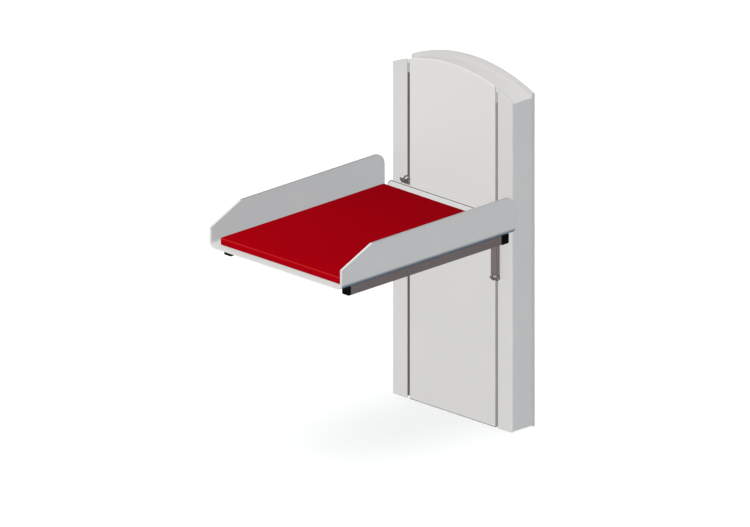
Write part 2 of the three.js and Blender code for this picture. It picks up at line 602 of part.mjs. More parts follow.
// Lift arm: an upright bar with a forked knuckle at each end that straddles a carriage lug,
// drawn about its own middle with the lug at the given place across it
function liftArm(lugX) {
  const barHeight = ARM_UPPER_PIN_HEIGHT - ARM_LOWER_PIN_HEIGHT;
  const barMiddle = fromWall(ARM_FRONT - ARM_DEPTH / 2);
  const barPlan = roundedRectangle(ARM_WIDTH, ARM_DEPTH, ARM_EDGE_RADIUS);
  const bar = extrude(barPlan, 'Z', barHeight, BEND_SEGMENTS / 2);
  bar.translate(0, barMiddle, ARM_LOWER_PIN_HEIGHT);

  const half = ARM_WIDTH / 2;
  const forkHalf = CARRIAGE_PLATE_THICKNESS / 2 + FORK_CLEARANCE;
  const forkReach = LUG_RADIUS + FORK_ROOT_CLEARANCE;
  const forkRear = COLUMN_DEPTH;
  const forkFront = KNUCKLE_FROM_WALL + 2 * KNUCKLE_RADIUS;
  const knuckles = [];
  const forks = [];
  for (const height of [ARM_LOWER_PIN_HEIGHT, ARM_UPPER_PIN_HEIGHT]) {
    const place = [0, fromWall(KNUCKLE_FROM_WALL), height];
    const knuckle = turnedAlongX([
      [-half, 0],
      [-half, KNUCKLE_RADIUS - KNUCKLE_CHAMFER],
      [-half + KNUCKLE_CHAMFER, KNUCKLE_RADIUS],
      [half - KNUCKLE_CHAMFER, KNUCKLE_RADIUS],
      [half, KNUCKLE_RADIUS - KNUCKLE_CHAMFER],
      [half, 0],
    ]);
    knuckles.push(knuckle.translate(...place));
    const bore = PIN_DIAMETER / 2 + SLIDE_CLEARANCE;
    const boreLength = half + KNUCKLE_RADIUS;
    const hole = turnedAlongX([[-boreLength, 0], [-boreLength, bore], [boreLength, bore], [boreLength, 0]]);
    forks.push(hole.translate(...place));
    const forkX = [lugX - forkHalf, lugX + forkHalf];
    forks.push(boxBetween(...forkX, forkRear, forkFront, height - forkReach, height + forkReach));
  }
  return cut(join(bar, ...knuckles), ...forks);
}

// Pin through a knuckle, with its head on the outer side and a clip ring on the inner side
function armPin() {
  const half = ARM_WIDTH / 2;
  const radius = PIN_DIAMETER / 2;
  const tail = half + PIN_TAIL_LENGTH;
  const headFoot = half + SEAT_GAP;
  const headTop = headFoot + PIN_HEAD_THICKNESS;
  return turnedAlongX([
    [-tail, 0],
    [-tail, radius - KNUCKLE_CHAMFER],
    [-tail + KNUCKLE_CHAMFER, radius],
    [headFoot, radius],
    [headFoot, PIN_HEAD_RADIUS],
    [headTop - KNUCKLE_CHAMFER, PIN_HEAD_RADIUS],
    [headTop, PIN_HEAD_RADIUS - 2 * KNUCKLE_CHAMFER],
    [headTop, 0],
  ]);
}

function pinClip() {
  const outerEnd = -ARM_WIDTH / 2 - SEAT_GAP;
  const innerEnd = outerEnd - CLIP_THICKNESS;
  const bore = PIN_DIAMETER / 2 + SLIDE_CLEARANCE;
  return turnedAlongX([
    [innerEnd, bore],
    [innerEnd, CLIP_RADIUS],
    [outerEnd, CLIP_RADIUS],
    [outerEnd, bore],
    [innerEnd, bore],
  ]);
}

function makeArms() {
  const pinHeights = { lower: ARM_LOWER_PIN_HEIGHT, upper: ARM_UPPER_PIN_HEIGHT };
  const spacerRear = ARM_FRONT + SEAT_GAP;
  const spacerFront = CROSS_TUBE_REAR - SEAT_GAP;
  for (const [name, side] of [['left', -1], ['right', 1]]) {
    const x = side * ARM_X;
    const turn = side < 0 ? Math.PI : 0;
    add(`arm_${name}`, liftArm(-side * ARM_OUTSET).translate(x, 0, 0), taupePaint);
    for (const [level, height] of Object.entries(pinHeights)) {
      const place = [x, fromWall(KNUCKLE_FROM_WALL), height];
      add(`arm_pin_${level}_${name}`, armPin().rotateZ(turn).translate(...place), brightSteel);
      add(`pin_clip_${level}_${name}`, pinClip().rotateZ(turn).translate(...place), brightSteel);
    }
    const spacerFace = roundedRectangle(ARM_WIDTH, TUBE_SIZE - 2 * SPACER_INSET, ARM_EDGE_RADIUS);
    const spacer = extrude(spacerFace, 'Y', spacerFront - spacerRear, BEND_SEGMENTS / 2);
    add(`arm_spacer_${name}`, spacer.translate(x, fromWall(spacerRear), TUBE_MIDDLE), taupePaint);
  }
}

// Plastic end cap with a plug that fits the tube's bore, facing out along the given axis
function tubeCap(axis) {
  const plugSize = TUBE_SIZE - 2 * TUBE_WALL - 2 * SEAT_GAP;
  const plate = extrude(roundedRectangle(TUBE_SIZE, TUBE_SIZE, TUBE_CORNER_RADIUS), axis, TUBE_CAP_THICKNESS);
  const plug = extrude(
    roundedRectangle(plugSize, plugSize, TUBE_BORE_RADIUS), axis, TUBE_CAP_PLUG_LENGTH + TUBE_CAP_THICKNESS / 2,
  );
  const inwards = AXES[axis][2].clone().multiplyScalar(-TUBE_CAP_PLUG_LENGTH);
  return join(plate, plug.translate(inwards.x, inwards.y, inwards.z));
}

// Tray frame: a cross tube behind, two long tubes running forward from it, and four end caps
function makeTrayFrame() {
  const section = tubeSection(TUBE_SIZE, TUBE_SIZE, TUBE_WALL, TUBE_CORNER_RADIUS, TUBE_BORE_RADIUS);
  const crossY = fromWall(CROSS_TUBE_FROM_WALL);
  const capX = TRAY_FRAME_WIDTH / 2 - TUBE_CAP_THICKNESS;
  const crossLength = 2 * (capX - SEAT_GAP);
  const crossTube = extrude(section, 'X', crossLength);
  add('cross_tube', crossTube.translate(-crossLength / 2, crossY, TUBE_MIDDLE), taupePaint);

  const longRear = CROSS_TUBE_FROM_WALL + TUBE_SIZE / 2 + SEAT_GAP;
  const capFoot = TRAY_FRONT - TRAY_FRAME_FRONT_SETBACK - TUBE_CAP_THICKNESS;
  for (const [name, side] of [['left', -1], ['right', 1]]) {
    const x = side * LONG_TUBE_X;
    const longTube = extrude(section, 'Y', capFoot - SEAT_GAP - longRear);
    add(`long_tube_${name}`, longTube.translate(x, fromWall(longRear), TUBE_MIDDLE), taupePaint);
    add(`front_cap_${name}`, tubeCap('Y').translate(x, fromWall(capFoot), TUBE_MIDDLE), blackPlastic);
    const turn = side < 0 ? Math.PI : 0;
    const sideCap = tubeCap('X').translate(capX, 0, 0).rotateZ(turn);
    add(`side_cap_${name}`, sideCap.translate(0, crossY, TUBE_MIDDLE), blackPlastic);
  }
}

// Tray floor and side guards as one bent channel
function trayChannel() {
  const half = TRAY_WIDTH / 2;
  const bend = half - TRAY_BEND_RADIUS;
  const inner = TRAY_BEND_RADIUS - TRAY_SHEET;
  const shape = new THREE.Shape();
  shape.moveTo(-half, GUARD_HEIGHT);
  shape.lineTo(-half, TRAY_BEND_RADIUS);
  shape.absarc(-bend, TRAY_BEND_RADIUS, TRAY_BEND_RADIUS, Math.PI, 1.5 * Math.PI);
  shape.lineTo(bend, 0);
  shape.absarc(bend, TRAY_BEND_RADIUS, TRAY_BEND_RADIUS, 1.5 * Math.PI, 2 * Math.PI);
  shape.lineTo(half, GUARD_HEIGHT);
  shape.lineTo(half - TRAY_SHEET, GUARD_HEIGHT);
  shape.lineTo(half - TRAY_SHEET, TRAY_BEND_RADIUS);
  shape.absarc(bend, TRAY_BEND_RADIUS, inner, 0, -Math.PI / 2, true);
  shape.lineTo(-bend, TRAY_SHEET);
  shape.absarc(-bend, TRAY_BEND_RADIUS, inner, -Math.PI / 2, -Math.PI, true);
  shape.lineTo(-half + TRAY_SHEET, GUARD_HEIGHT);
  return extrude(shape, 'Y', TRAY_FRONT - GUARD_REAR).translate(0, fromWall(GUARD_REAR), 0);
}

// Side view of the guards: sloped at the front, round at the top rear corner
function guardOutline() {
  const rear = fromWall(GUARD_REAR);
  const front = fromWall(TRAY_FRONT);
  const shape = new THREE.Shape();
  shape.moveTo(rear, 0);
  shape.lineTo(rear, GUARD_HEIGHT - GUARD_REAR_RADIUS);
  const arcY = rear - GUARD_REAR_RADIUS;
  shape.absarc(arcY, GUARD_HEIGHT - GUARD_REAR_RADIUS, GUARD_REAR_RADIUS, 0, Math.PI / 2);
  shape.lineTo(front + GUARD_SLOPE_LENGTH, GUARD_HEIGHT);
  shape.lineTo(front, GUARD_FRONT_HEIGHT);
  shape.lineTo(front, 0);
  return extrude(shape, 'X', TRAY_WIDTH).translate(-TRAY_WIDTH / 2, 0, 0);
}

// Rear upstand, bent up from the floor between the guards
function rearUpstand() {
  const rear = fromWall(TRAY_REAR);
  const bendY = rear - TRAY_BEND_RADIUS;
  const lapY = bendY - TRAY_SHEET;
  const profile = new THREE.Shape();
  profile.moveTo(lapY, 0);
  profile.lineTo(bendY, 0);
  profile.absarc(bendY, TRAY_BEND_RADIUS, TRAY_BEND_RADIUS, -Math.PI / 2, 0);
  profile.lineTo(rear, UPSTAND_HEIGHT);
  profile.lineTo(rear - TRAY_SHEET, UPSTAND_HEIGHT);
  profile.lineTo(rear - TRAY_SHEET, TRAY_BEND_RADIUS);
  profile.absarc(bendY, TRAY_BEND_RADIUS, TRAY_BEND_RADIUS - TRAY_SHEET, 0, -Math.PI / 2, true);
  profile.lineTo(lapY, TRAY_SHEET);
  const bent = extrude(profile, 'X', UPSTAND_WIDTH).translate(-UPSTAND_WIDTH / 2, 0, 0);

  const half = UPSTAND_WIDTH / 2;
  const corner = half - UPSTAND_CORNER_RADIUS;
  const cornerZ = UPSTAND_HEIGHT - UPSTAND_CORNER_RADIUS;
  const face = new THREE.Shape();
  face.moveTo(-half, 0);
  face.lineTo(half, 0);
  face.lineTo(half, cornerZ);
  face.absarc(corner, cornerZ, UPSTAND_CORNER_RADIUS, 0, Math.PI / 2);
  face.lineTo(-corner, UPSTAND_HEIGHT);
  face.absarc(-corner, cornerZ, UPSTAND_CORNER_RADIUS, Math.PI / 2, Math.PI);
  const outline = extrude(face, 'Y', rear - lapY).translate(0, rear, 0);
  return common(bent, outline);
}

function makeTray() {
  const channel = common(trayChannel(), guardOutline());
  const reliefHalf = TRAY_WIDTH / 2 - TRAY_BEND_RADIUS;
  const reliefFront = TRAY_REAR + TRAY_BEND_RADIUS;
  const relief = boxBetween(
    -reliefHalf, reliefHalf, GUARD_REAR - TRAY_SHEET, reliefFront, -TRAY_SHEET, 2 * TRAY_SHEET,
  );
  const tray = join(cut(channel, relief), rearUpstand());
  add('tray', tray.translate(0, 0, TRAY_FOOT_HEIGHT), trayPaint);
}

// Sides that the mat's corners lie on, in the order that its outline runs
const MAT_CORNERS = [[1, 1], [-1, 1], [-1, -1], [1, -1]];

// Outline of the mat at a given inset, with round corners and sides drawn in between them
function matRing(inset, height, scale = 1) {
  const cornerSteps = 4;
  const sideSteps = 10;
  const a = MAT_WIDTH / 2 - inset;
  const b = MAT_LENGTH / 2 - inset;
  const radius = Math.max(MAT_CORNER_RADIUS - inset, MAT_EDGE_RADIUS / 2);
  const ring = [];
  const place = (x, y) => {
    const drawX = MAT_DRAW_IN * (1 - (y / b) ** 2) * Math.sign(x) * (Math.abs(x) > a - radius ? 1 : 0);
    const drawY = MAT_DRAW_IN * (1 - (x / a) ** 2) * Math.sign(y) * (Math.abs(y) > b - radius ? 1 : 0);
    ring.push(new THREE.Vector3((x - drawX) * scale, (y - drawY) * scale, height));
  };
  for (const [corner, [sideX, sideY]] of MAT_CORNERS.entries()) {
    const start = corner * Math.PI / 2;
    const cx = sideX * (a - radius);
    const cy = sideY * (b - radius);
    for (let step = 0; step <= cornerSteps; step += 1) {
      const angle = start + (step / cornerSteps) * Math.PI / 2;
      place(cx + radius * Math.cos(angle), cy + radius * Math.sin(angle));
    }
    const [nextSideX, nextSideY] = MAT_CORNERS[(corner + 1) % MAT_CORNERS.length];
    const nextX = nextSideX * (a - radius);
    const nextY = nextSideY * (b - radius);
    const outX = radius * Math.cos(start + Math.PI / 2);
    const outY = radius * Math.sin(start + Math.PI / 2);
    for (let step = 1; step < sideSteps; step += 1) {
      const t = step / sideSteps;
      place(cx + (nextX - cx) * t + outX, cy + (nextY - cy) * t + outY);
    }
  }
  return ring;
}

// Mat: a firm pad, flat below, with rounded upper edges, a low crown and sides drawn in
function makeMat() {
  const edgeSteps = 3;
  const rings = [matRing(MAT_EDGE_RADIUS, 0), matRing(0, MAT_EDGE_RADIUS)];
  for (let step = 0; step <= edgeSteps; step += 1) {
    const angle = (step / edgeSteps) * Math.PI / 2;
    const inset = MAT_EDGE_RADIUS * (1 - Math.cos(angle));
    rings.push(matRing(inset, MAT_THICKNESS - MAT_EDGE_RADIUS * (1 - Math.sin(angle))));
  }
  for (const scale of [0.9, 0.7, 0.45, 0.2]) {
    rings.push(matRing(MAT_EDGE_RADIUS, MAT_THICKNESS + MAT_CROWN * (1 - scale ** 2), scale));
  }
  const count = rings[0].length;
  const points = [new THREE.Vector3(0, 0, 0), ...rings.flat()];
  points.push(new THREE.Vector3(0, 0, MAT_THICKNESS + MAT_CROWN));
  const last = points.length - 1;
  const index = [];
  for (let i = 0; i < count; i += 1) {
    const j = (i + 1) % count;
    index.push(0, 1 + j, 1 + i);
    for (let ring = 0; ring < rings.length - 1; ring += 1) {
      const low = 1 + ring * count;
      const high = low + count;
      index.push(low + i, low + j, high + j, low + i, high + j, high + i);
    }
    const top = 1 + (rings.length - 1) * count;
    index.push(last, top + i, top + j);
  }
  const geometry = new THREE.BufferGeometry().setFromPoints(points);
  geometry.setIndex(index);
  geometry.computeVertexNormals();
  const y = fromWall(TRAY_FRONT - MAT_FRONT_MARGIN - MAT_LENGTH / 2);
  add('mat', geometry.translate(0, y, TRAY_FOOT_HEIGHT + TRAY_SHEET + SEAT_GAP), redVinyl);
}

makeBackPlate();
makeFrontBoards();
makeTopCover();
makeSidePanels();
makeGlideRails();
makeLiftFrame();
makeGuideRods();
makeActuator();
makeControlBox();
makeCarriage();
makeArms();
makeTrayFrame();
makeTray();
makeMat();

export default station;
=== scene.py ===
"""Looks for the wall-mounted baby changing station: finishes, the padded mat, light and camera."""

import json
import math

import bmesh
import bpy
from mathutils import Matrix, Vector


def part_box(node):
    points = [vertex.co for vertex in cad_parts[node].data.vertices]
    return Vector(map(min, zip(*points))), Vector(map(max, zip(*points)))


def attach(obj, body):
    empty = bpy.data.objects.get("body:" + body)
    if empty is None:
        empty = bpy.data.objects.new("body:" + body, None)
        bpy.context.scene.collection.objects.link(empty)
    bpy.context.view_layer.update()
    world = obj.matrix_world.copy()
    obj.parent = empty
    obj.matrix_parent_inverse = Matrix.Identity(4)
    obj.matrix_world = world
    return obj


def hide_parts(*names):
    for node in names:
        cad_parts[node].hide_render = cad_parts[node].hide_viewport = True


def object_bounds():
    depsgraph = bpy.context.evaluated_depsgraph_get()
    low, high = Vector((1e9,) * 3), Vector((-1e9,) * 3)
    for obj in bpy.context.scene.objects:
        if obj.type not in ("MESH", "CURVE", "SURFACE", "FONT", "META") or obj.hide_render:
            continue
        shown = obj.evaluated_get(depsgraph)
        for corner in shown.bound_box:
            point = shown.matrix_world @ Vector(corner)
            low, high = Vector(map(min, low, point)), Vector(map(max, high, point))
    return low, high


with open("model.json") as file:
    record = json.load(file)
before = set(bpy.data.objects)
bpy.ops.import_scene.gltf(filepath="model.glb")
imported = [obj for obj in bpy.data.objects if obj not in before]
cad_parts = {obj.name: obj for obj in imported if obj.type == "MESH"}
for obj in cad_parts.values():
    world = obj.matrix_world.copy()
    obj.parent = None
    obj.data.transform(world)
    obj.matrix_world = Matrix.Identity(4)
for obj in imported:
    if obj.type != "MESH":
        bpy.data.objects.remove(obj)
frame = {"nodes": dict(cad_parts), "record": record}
cad_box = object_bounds()
nodes = frame["nodes"]
scene = bpy.context.scene
MM = 0.001

# Camera: the photograph is close to a parallel view from the front right and above
VIEW_AZIMUTH = math.radians(45.0)
VIEW_ELEVATION = math.radians(19.48)
IMAGE_WIDTH = 750
PIXELS_PER_METRE = 259.8
VIEW_AIM = Vector((-0.2103, -0.3303, -0.0891))
VIEW_DISTANCE = 6.0

# Finishes, as linear colours
WHITE = (0.78, 0.77, 0.755, 1)
WHITE_SHADED = (0.755, 0.75, 0.74, 1)
PANEL_WHITE = (0.765, 0.747, 0.723, 1)
PANEL_WHITE_SHADED = (0.748, 0.73, 0.707, 1)
BOARD_WHITE = (0.725, 0.707, 0.684, 1)
BOARD_WHITE_SHADED = (0.705, 0.69, 0.67, 1)
BOARD_TOP_SHADE = (0.55, 0.535, 0.52, 1)
BOARD_SIDE_GREY = (0.15, 0.147, 0.146, 1)
PLATE_SHADE = (0.46, 0.46, 0.455, 1)
SHADE_LINE_DARK = (0.07, 0.07, 0.072, 1)
GUARD_EDGE = (0.44, 0.438, 0.435, 1)
GUARD_LINE = (0.68, 0.68, 0.675, 1)
BEND_BLUE = (0.125, 0.235, 0.36, 1)
TAUPE = (0.155, 0.122, 0.119, 1)
TAUPE_DARK = (0.135, 0.106, 0.103, 1)
TAUPE_SIDE_LIT = (0.255, 0.213, 0.208, 1)
TAUPE_EDGE_SHADE = (0.12, 0.097, 0.095, 1)
FRAME_TAUPE = (0.243, 0.195, 0.19, 1)
FRAME_TAUPE_DARK = (0.21, 0.168, 0.163, 1)
KNUCKLE_DARK = (0.1, 0.09, 0.088, 1)
KNUCKLE_GLINT = (0.62, 0.61, 0.6, 1)
STEEL = (0.4, 0.395, 0.39, 1)
STEEL_DULL = (0.12, 0.118, 0.116, 1)
BLACK = (0.002, 0.002, 0.002, 1)
BLACK_WORN = (0.006, 0.006, 0.006, 1)
GREY = (0.5, 0.475, 0.467, 1)
GREY_WORN = (0.45, 0.43, 0.42, 1)
IVORY = (0.75, 0.73, 0.67, 1)
IVORY_SHADED = (0.66, 0.63, 0.56, 1)
RED = (0.43, 0.0004, 0.005, 1)
RED_DEEP = (0.27, 0.0003, 0.004, 1)
RED_FACE_LIT = (0.44, 0.0004, 0.006, 1)
RED_EDGE_HIGHLIGHT = (0.46, 0.017, 0.015, 1)

# How uneven each finish is: the limits of its roughness, the size of its clouds of colour, and the
# size and depth of its raised texture
CASING = {"roughness": (0.42, 0.52), "cloud": 220 * MM, "texture": 0.9 * MM, "depth": 0.02 * MM}
TRAY = {"roughness": (0.36, 0.46), "cloud": 150 * MM, "texture": 0.9 * MM, "depth": 0.02 * MM}
POWDER_COAT = {"roughness": (0.4, 0.55), "cloud": 60 * MM, "texture": 1.6 * MM, "depth": 0.06 * MM}
PLATING = {"roughness": (0.3, 0.5), "cloud": 6 * MM, "texture": 0.6 * MM, "depth": 0.01 * MM}
MOULDING = {"roughness": (0.5, 0.65), "cloud": 30 * MM, "texture": 0.7 * MM, "depth": 0.05 * MM}

# Noise in those finishes: its detail, the part of its range that counts, how many times finer the
# patches of gloss are than the clouds of colour, and how strongly the texture shows
CLOUD_DETAIL = 3.0
CLOUD_RANGE = (0.3, 0.7)
GLOSS_DETAIL = 4.0
GLOSS_RANGE = (0.25, 0.75)
GLOSS_FINENESS = 6
TEXTURE_DETAIL = 1.0
TEXTURE_STRENGTH = 0.5

# Vinyl: its clouds, its grain, and how much its creases, its painted rear shade and its clouds deepen the
# red
VINYL_CLOUD = 300 * MM
VINYL_GRAIN = 1.8 * MM
VINYL_ROUGHNESS = (0.42, 0.58)
GRAIN_RANGE = (0.0, 0.7)
GRAIN_DEPTH = 0.12 * MM
GRAIN_STRENGTH = 0.35
CREASE_RANGE = (0.35, 0.7)
CREASE_SHADE = 0.25
REAR_SHADE = 0.85
CLOUD_SHADE = 0.15

# Refractive indexes, low where the photograph shows hardly any shine
TRAY_IOR = 1.3
PLASTIC_IOR = 1.07
VINYL_IOR = 1.025

# The part of a face's normal along an axis, above which the face counts as square to it or turned to it
SQUARE_ON = 0.95
MOSTLY_TURNED = 0.6
TURNED = 0.3
JUST_TURNED = 0.1

# Upward parts of the normal between which the shade under the tray's bends fades out
UNDERSIDE = (-0.6, -0.1)

# The centre panel grows paler between these heights in the object's frame, a painted gradient of light,
# and has a painted shade line at its foot
PAINTED_LIGHT_HEIGHTS = (-0.2, 0.3)
FOOT_LINE = 3.5 * MM

# Tray: the widths of its lines, and the sizes of its form that they follow
UPSTAND_LINE = 3 * MM
GUARD_LINE_WIDTH = 2.5 * MM
FACE_TOLERANCE = 1 * MM
TRAY_SHEET = 10 * MM
GUARD_OVERHANG = 5 * MM
GUARD_REAR_RADIUS = 48 * MM
GUARD_EDGE_FOOT = 70 * MM
UPSTAND_HEIGHT = 56 * MM
UPSTAND_INSET = 41 * MM
UPSTAND_CORNER_RADIUS = 25 * MM

# Arms: how far the colours of a knuckle reach above and below its pin
KNUCKLE_REACH = 13 * MM

# Mat: sizes of its form, and how it swells
MAT_CELL = 12 * MM
MAT_EDGE_RADIUS = 3.5 * MM
MAT_EDGE_ANGLES = (0, 30, 60)
MAT_FOOT_RADIUS = 2 * MM
MAT_CORNER_RADIUS = 7 * MM
MAT_LEAST_RADIUS = MAT_CORNER_RADIUS / 3
MAT_DRAW_IN = 1.5 * MM
MAT_CROWN = 0.8 * MM
MAT_SWELL = 1.2 * MM
MAT_EDGE_LINE = 4.5 * MM
MAT_HELD_HEIGHT = 0.1 * MM
SWELL_PRESSURE = 4.0
SWELL_FRAMES = 20

# Floor
FLOOR_SIZE = 120.0
FLOOR_COLOUR = (0.97, 0.97, 0.97, 1)
FLOOR_GLOW = 0.09

# Lights: a pale sky, and soft suns by azimuth, elevation, strength, spread and colour. Those on the
# object cast no shadows, as in the photograph; one on the floor alone keeps the object's shadow there
SKY_COLOUR = (0.97, 1.0, 1.03, 1)
SKY_STRENGTH = 0.03
LIGHTS = {
    "fill": (46, 19, 2.35, 8, (0.964, 1.0, 1.038)),
    "key": (-20, 15, 1.11, 25, (1.0, 0.98, 0.935)),
    "top": (10, 78, 1.34, 60, (1.0, 1.0, 0.99)),
    "back": (180, 10, 1.8, 8, (1.0, 1.0, 1.0)),
    "left": (270, 10, 1.2, 8, (1.0, 1.0, 1.0)),
}
FLOOR_LIGHT = (10, 78, 0.55, 60, (1.0, 1.0, 1.0))

# Lights that show as highlights; the others only brighten
HIGHLIGHTS = ("key", "top")

# Sockets of a Mix node that carry colours
MIX_INPUTS = (6, 7)
MIX_OUTPUT = 2


# Starts a material and gives its tree, its shader and places in the object's frame
def start_material(name):
    material = bpy.data.materials.new(name)
    material.use_nodes = True
    tree = material.node_tree
    shader = tree.nodes["Principled BSDF"]
    place = tree.nodes.new("ShaderNodeTexCoord").outputs["Object"]
    return material, tree, shader, place


# Gives a socket a fixed value or another node's output
def feed(tree, value, socket):
    if isinstance(value, bpy.types.NodeSocket):
        tree.links.new(value, socket)
    else:
        socket.default_value = value


# Soft noise whose features measure about the given size
def noise(tree, place, size, detail):
    node = tree.nodes.new("ShaderNodeTexNoise")
    feed(tree, 1 / size, node.inputs["Scale"])
    feed(tree, detail, node.inputs["Detail"])
    feed(tree, place, node.inputs["Vector"])
    return node.outputs["Fac"]


# Rounded cells about the given size, as in embossed vinyl
def cells(tree, place, size):
    node = tree.nodes.new("ShaderNodeTexVoronoi")
    node.feature = "SMOOTH_F1"
    feed(tree, 1 / size, node.inputs["Scale"])
    feed(tree, place, node.inputs["Vector"])
    return node.outputs["Distance"]


# Carries a value from one range to another
def spread(tree, value, given, wanted=(0.0, 1.0)):
    node = tree.nodes.new("ShaderNodeMapRange")
    feed(tree, value, node.inputs["Value"])
    for name, limit in zip(("From Min", "From Max", "To Min", "To Max"), (*given, *wanted)):
        feed(tree, limit, node.inputs[name])
    return node.outputs["Result"]


def calculate(tree, operation, *values):
    node = tree.nodes.new("ShaderNodeMath")
    node.operation = operation
    for socket, value in zip(node.inputs, values):
        feed(tree, value, socket)
    return node.outputs["Value"]


def without_sign(tree, value):
    return calculate(tree, "ABSOLUTE", value)


# Masks: 1 where they hold and 0 elsewhere
def is_above(tree, value, limit):
    return calculate(tree, "GREATER_THAN", value, limit)


def is_below(tree, value, limit):
    return calculate(tree, "LESS_THAN", value, limit)


def is_near(tree, value, middle, reach):
    return calculate(tree, "COMPARE", value, middle, reach)


def all_hold(tree, first, *others):
    for other in others:
        first = calculate(tree, "MULTIPLY", first, other)
    return first


# Mixes two colours, from the first where the factor is 0 to the second where it is 1
def mix(tree, factor, *colours):
    node = tree.nodes.new("ShaderNodeMix")
    node.data_type = "RGBA"
    feed(tree, factor, node.inputs["Factor"])
    for index, colour in zip(MIX_INPUTS, colours):
        feed(tree, colour, node.inputs[index])
    return node.outputs[MIX_OUTPUT]


# The parts of a vector along X, Y and Z
def parts(tree, vector):
    node = tree.nodes.new("ShaderNodeSeparateXYZ")
    feed(tree, vector, node.inputs["Vector"])
    return node.outputs


def surface_normal(tree):
    return parts(tree, tree.nodes.new("ShaderNodeNewGeometry").outputs["True Normal"])


# Raises the surface by a height field
def raise_surface(tree, shader, height, depth, strength):
    node = tree.nodes.new("ShaderNodeBump")
    feed(tree, height, node.inputs["Height"])
    feed(tree, depth, node.inputs["Distance"])
    feed(tree, strength, node.inputs["Strength"])
    feed(tree, node.outputs["Normal"], shader.inputs["Normal"])


# Gives a shader patches of gloss and a fine texture, and returns clouds of the two colours
def uneven_surface(tree, shader, place, colours, roughness, cloud, texture, depth):
    patches = noise(tree, place, cloud / GLOSS_FINENESS, GLOSS_DETAIL)
    feed(tree, spread(tree, patches, GLOSS_RANGE, roughness), shader.inputs["Roughness"])
    raise_surface(tree, shader, noise(tree, place, texture, TEXTURE_DETAIL), depth, TEXTURE_STRENGTH)
    clouds = noise(tree, place, cloud, CLOUD_DETAIL)
    return mix(tree, spread(tree, clouds, CLOUD_RANGE), *colours)


# A finish that is alike all over, with any other values of its shader by their names
def plain_finish(name, colours, surface, **values):
    material, tree, shader, place = start_material(name)
    feed(tree, uneven_surface(tree, shader, place, colours, **surface), shader.inputs["Base Color"])
    for socket, value in values.items():
        feed(tree, value, shader.inputs[socket])
    return material


# White back plate, with painted shade in front where it stands out beside the column
def white_plate():
    material, tree, shader, place = start_material("plate_white")
    colour = uneven_surface(tree, shader, place, (BOARD_WHITE, BOARD_WHITE_SHADED), **CASING)
    across = without_sign(tree, parts(tree, place)["X"])
    beside = is_above(tree, across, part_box("side_panel_right")[1].x)
    forward = is_below(tree, surface_normal(tree)["Y"], -SQUARE_ON)
    # Painted shade on the forward faces beside the column
    colour = mix(tree, all_hold(tree, beside, forward), colour, PLATE_SHADE)
    feed(tree, colour, shader.inputs["Base Color"])
    return material


# White laminate of the front strips, with painted shade greying their upper edges and chamfers
def white_strip():
    material, tree, shader, place = start_material("board_white")
    colour = uneven_surface(tree, shader, place, (BOARD_WHITE, BOARD_WHITE_SHADED), **CASING)
    # Painted shade on the faces that look upwards
    upwards = is_above(tree, surface_normal(tree)["Z"], TURNED)
    feed(tree, mix(tree, upwards, colour, BOARD_TOP_SHADE), shader.inputs["Base Color"])
    return material


# White laminate of the centre panel, with painted light making it paler towards its top, dark grey
# on its side edges at the slots, and a painted shade line along the foot
def white_panel():
    material, tree, shader, place = start_material("panel_white")
    colour = uneven_surface(tree, shader, place, (BOARD_WHITE, BOARD_WHITE_SHADED), **CASING)
    height = parts(tree, place)["Z"]
    # Painted light: paler towards the top
    colour = mix(tree, spread(tree, height, PAINTED_LIGHT_HEIGHTS), colour, PANEL_WHITE)
    sideways = without_sign(tree, surface_normal(tree)["X"])
    # Dark grey on the faces that look sideways, the edges at the slots
    colour = mix(tree, is_above(tree, sideways, SQUARE_ON), colour, BOARD_SIDE_GREY)
    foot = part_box("centre_panel")[0].z
    # Painted shade: a dark line along the foot
    colour = mix(tree, is_below(tree, height, foot + FOOT_LINE), colour, SHADE_LINE_DARK)
    feed(tree, colour, shader.inputs["Base Color"])
    return material


# Where a face lies within a line's width of its two edges or the round corner between them;
# the corner's centre is given along the two directions of the face
def rim_line(tree, along, up, centre, radius, width):
    past = [calculate(tree, "SUBTRACT", value, start) for value, start in zip((along, up), centre)]
    past = [calculate(tree, "MAXIMUM", value, 0.0) for value in past]
    squares = [calculate(tree, "MULTIPLY", value, value) for value in past]
    reach = calculate(tree, "SQRT", calculate(tree, "ADD", *squares))
    return is_above(tree, reach, radius - width)


